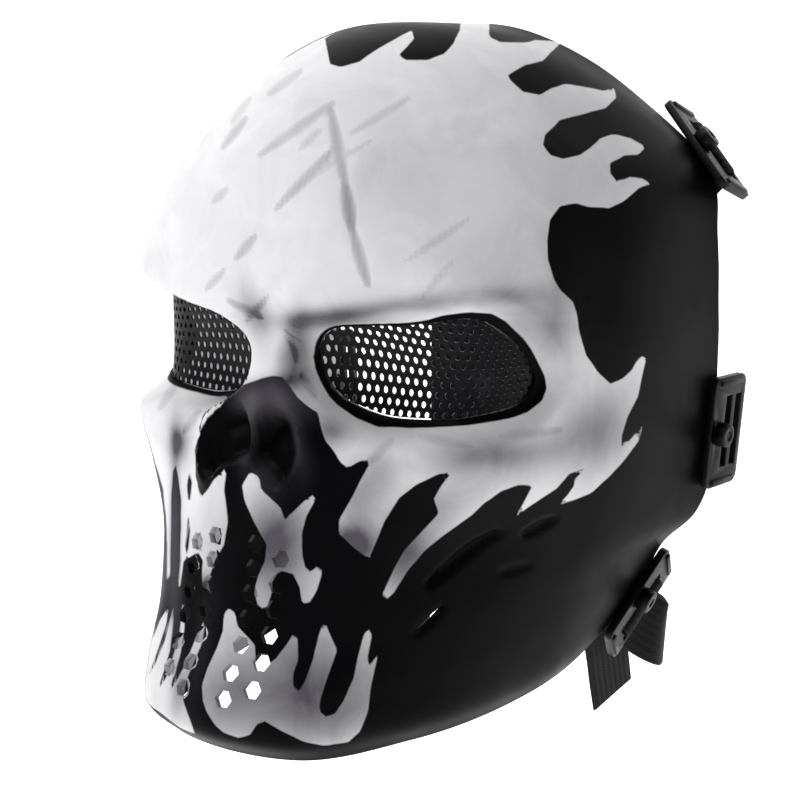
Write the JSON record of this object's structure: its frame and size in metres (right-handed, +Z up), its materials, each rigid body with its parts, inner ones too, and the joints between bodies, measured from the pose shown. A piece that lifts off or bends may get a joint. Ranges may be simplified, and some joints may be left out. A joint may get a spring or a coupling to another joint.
{
  "type": "skull mask",
  "caption": "Full-face skull mask: a moulded shell with perforated eye screens, breathing holes over the mouth, riveted strap buckles, webbing straps and a back pad.",
  "frame": {"origin": "on the inner face of the forehead, on the middle plane, where the mask bears on a head", "axes": "the wearer looks along -Y, +X is the wearer's left, +Z is up"},
  "size_m": [0.2, 0.2462, 0.278],
  "materials": {
    "shell_plastic": "satin white paint with black flame-like patches on moulded plastic",
    "screen_steel": "black painted perforated steel",
    "fittings": "black moulded plastic",
    "webbing": "black woven webbing",
    "pad_fabric": "black padded fabric"
  },
  "bodies": {
    "root": {"shell": "shell_plastic", "eye_screen_left": "screen_steel", "eye_screen_right": "screen_steel", "buckle_upper_left": "fittings", "rivet_upper_left": "fittings", "strap_upper_left": "webbing", "buckle_upper_right": "fittings", "rivet_upper_right": "fittings", "strap_upper_right": "webbing", "buckle_middle_left": "fittings", "rivet_middle_left": "fittings", "buckle_middle_right": "fittings", "rivet_middle_right": "fittings", "buckle_lower_left": "fittings", "rivet_lower_left": "fittings", "buckle_lower_right": "fittings", "rivet_lower_right": "fittings", "strap_neck": "webbing", "back_pad": "pad_fabric"}
  },
  "joints": []
}
